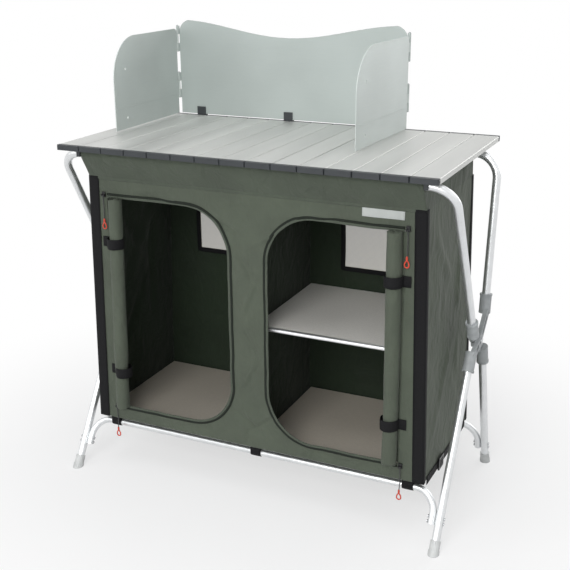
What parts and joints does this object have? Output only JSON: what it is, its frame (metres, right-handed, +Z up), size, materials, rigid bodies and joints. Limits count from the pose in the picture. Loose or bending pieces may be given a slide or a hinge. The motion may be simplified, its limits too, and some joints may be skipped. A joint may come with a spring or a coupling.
{
  "type": "camp kitchen cabinet",
  "caption": "Folding camp kitchen cabinet: scissor tube frame, slatted roll top, three-sided windscreen and a hung fabric box with rolled D-shaped doors, shelf and floor boards.",
  "frame": {"origin": "floor level under the centre of the overall box", "axes": "+Z up, front with the doors faces -Y, +X to the right seen from the front"},
  "size_m": [0.973, 0.5079, 1.0803],
  "materials": {
    "tube": "satin anodised tube",
    "hub_plastic": "grained grey moulding",
    "foot_plastic": "smooth light grey moulding",
    "steel": "plated",
    "webbing": "woven black webbing",
    "slat": "brushed anodised",
    "cap_plastic": "grained dark grey",
    "elastic": "braided",
    "screen_sheet": "satin anodised sheet",
    "canvas": "coated plain weave",
    "canvas_band": "coated plain weave",
    "roll_cloth": "coated plain weave, rolled",
    "mesh": "fine net",
    "floor_board": "coated board",
    "shelf_board": "coated board",
    "edge_metal": "bright profile",
    "zip_metal": "moulded",
    "red_cord": "braided cord",
    "label": "plain woven patch",
    "buckle": "moulded"
  },
  "bodies": {
    "frame_a": {"front_top_frame": "tube", "hub_a_left": "hub_plastic", "hub_a_right": "hub_plastic", "rear_leg_left": "tube", "rear_leg_right": "tube", "rear_lower_rail": "tube", "rear_foot_caps": "foot_plastic", "rear_rail_rivets": "steel", "pivot_pins": "steel", "rear_rail_loops": "webbing", "front_panel": "canvas", "rear_panel": "canvas", "side_panel_left": "canvas", "side_panel_right": "canvas", "yoke_front": "canvas_band", "yoke_rear": "canvas_band", "yoke_sides": "canvas_band", "fabric_floor": "canvas", "divider": "canvas", "corner_webbing": "webbing", "window_edging": "webbing", "window_mesh": "mesh", "floor_board_left": "floor_board", "floor_board_right": "floor_board", "board_edges": "edge_metal", "shelf_ledges": "webbing", "door_roll_left": "roll_cloth", "door_roll_right": "roll_cloth", "roll_straps": "webbing", "zip_tapes": "webbing", "zip_sliders": "zip_metal", "label_patch": "label", "side_straps": "webbing", "strap_buckles": "buckle"},
    "frame_b": {"rear_top_frame": "tube", "hub_b_left": "hub_plastic", "hub_b_right": "hub_plastic", "front_leg_left": "tube", "front_leg_right": "tube", "front_lower_rail": "tube", "front_foot_caps": "foot_plastic", "front_rail_rivets": "steel", "front_rail_loops": "webbing"},
    "tabletop": {"tabletop_slats": "slat", "front_end_caps": "cap_plastic", "rear_end_caps": "cap_plastic", "slat_cords": "elastic", "tabletop_clips": "cap_plastic", "rear_rest_pads": "cap_plastic", "windscreen_back": "screen_sheet", "windscreen_brackets": "cap_plastic", "hinge_pins": "steel"},
    "windscreen_wing_left": {"wing_left": "screen_sheet"},
    "windscreen_wing_right": {"wing_right": "screen_sheet"},
    "shelf": {"mid_shelf": "shelf_board", "shelf_edge": "edge_metal"},
    "pull_tl": {"zip_pull_tl": "red_cord"},
    "pull_tr": {"zip_pull_tr": "red_cord"},
    "pull_bl": {"zip_pull_bl": "red_cord"},
    "pull_br": {"zip_pull_br": "red_cord"}
  },
  "joints": [
    {"name": "frame_fold", "type": "hinge", "parent": "frame_a", "child": "frame_b", "pos_m": [0, 0.045, 0.4], "axis": [1, 0, 0], "range_deg": [0, 42], "deforming": ["front_panel", "rear_panel", "side_panel_left", "side_panel_right", "yoke_front", "yoke_rear", "yoke_sides", "fabric_floor", "divider", "corner_webbing", "window_edging", "window_mesh", "door_roll_left", "door_roll_right", "roll_straps", "zip_tapes", "label_patch", "side_straps", "strap_buckles"]},
    {"name": "tabletop_lift", "type": "slide", "parent": "frame_a", "child": "tabletop", "axis": [0, 0, 1], "range_m": [0, 0.12]},
    {"name": "wing_left_fold", "type": "hinge", "parent": "tabletop", "child": "windscreen_wing_left", "pos_m": [-0.413, 0.2418, 0.84], "axis": [0, 0, 1], "range_deg": [0, 86]},
    {"name": "wing_right_fold", "type": "hinge", "parent": "tabletop", "child": "windscreen_wing_right", "pos_m": [0.223, 0.2418, 0.84], "axis": [0, 0, -1], "range_deg": [0, 84]},
    {"name": "shelf_lift", "type": "slide", "parent": "frame_a", "child": "shelf", "axis": [0, 0, 1], "range_m": [0, 0.12]},
    {"name": "pull_tl_swing", "type": "hinge", "parent": "frame_a", "child": "pull_tl", "pos_m": [-0.373, -0.1918, 0.7135], "axis": [-1, 0, 0], "range_deg": [0, 80]},
    {"name": "pull_tr_swing", "type": "hinge", "parent": "frame_a", "child": "pull_tr", "pos_m": [0.373, -0.1918, 0.7135], "axis": [-1, 0, 0], "range_deg": [0, 80]},
    {"name": "pull_bl_swing", "type": "hinge", "parent": "frame_a", "child": "pull_bl", "pos_m": [-0.373, -0.1918, 0.1675], "axis": [-1, 0, 0], "range_deg": [0, 80]},
    {"name": "pull_br_swing", "type": "hinge", "parent": "frame_a", "child": "pull_br", "pos_m": [0.373, -0.1918, 0.1675], "axis": [-1, 0, 0], "range_deg": [0, 80]}
  ],
  "couplings": [
    {"joint": "tabletop_lift", "follows": "frame_fold", "m_per_rad": 0.15}
  ]
}
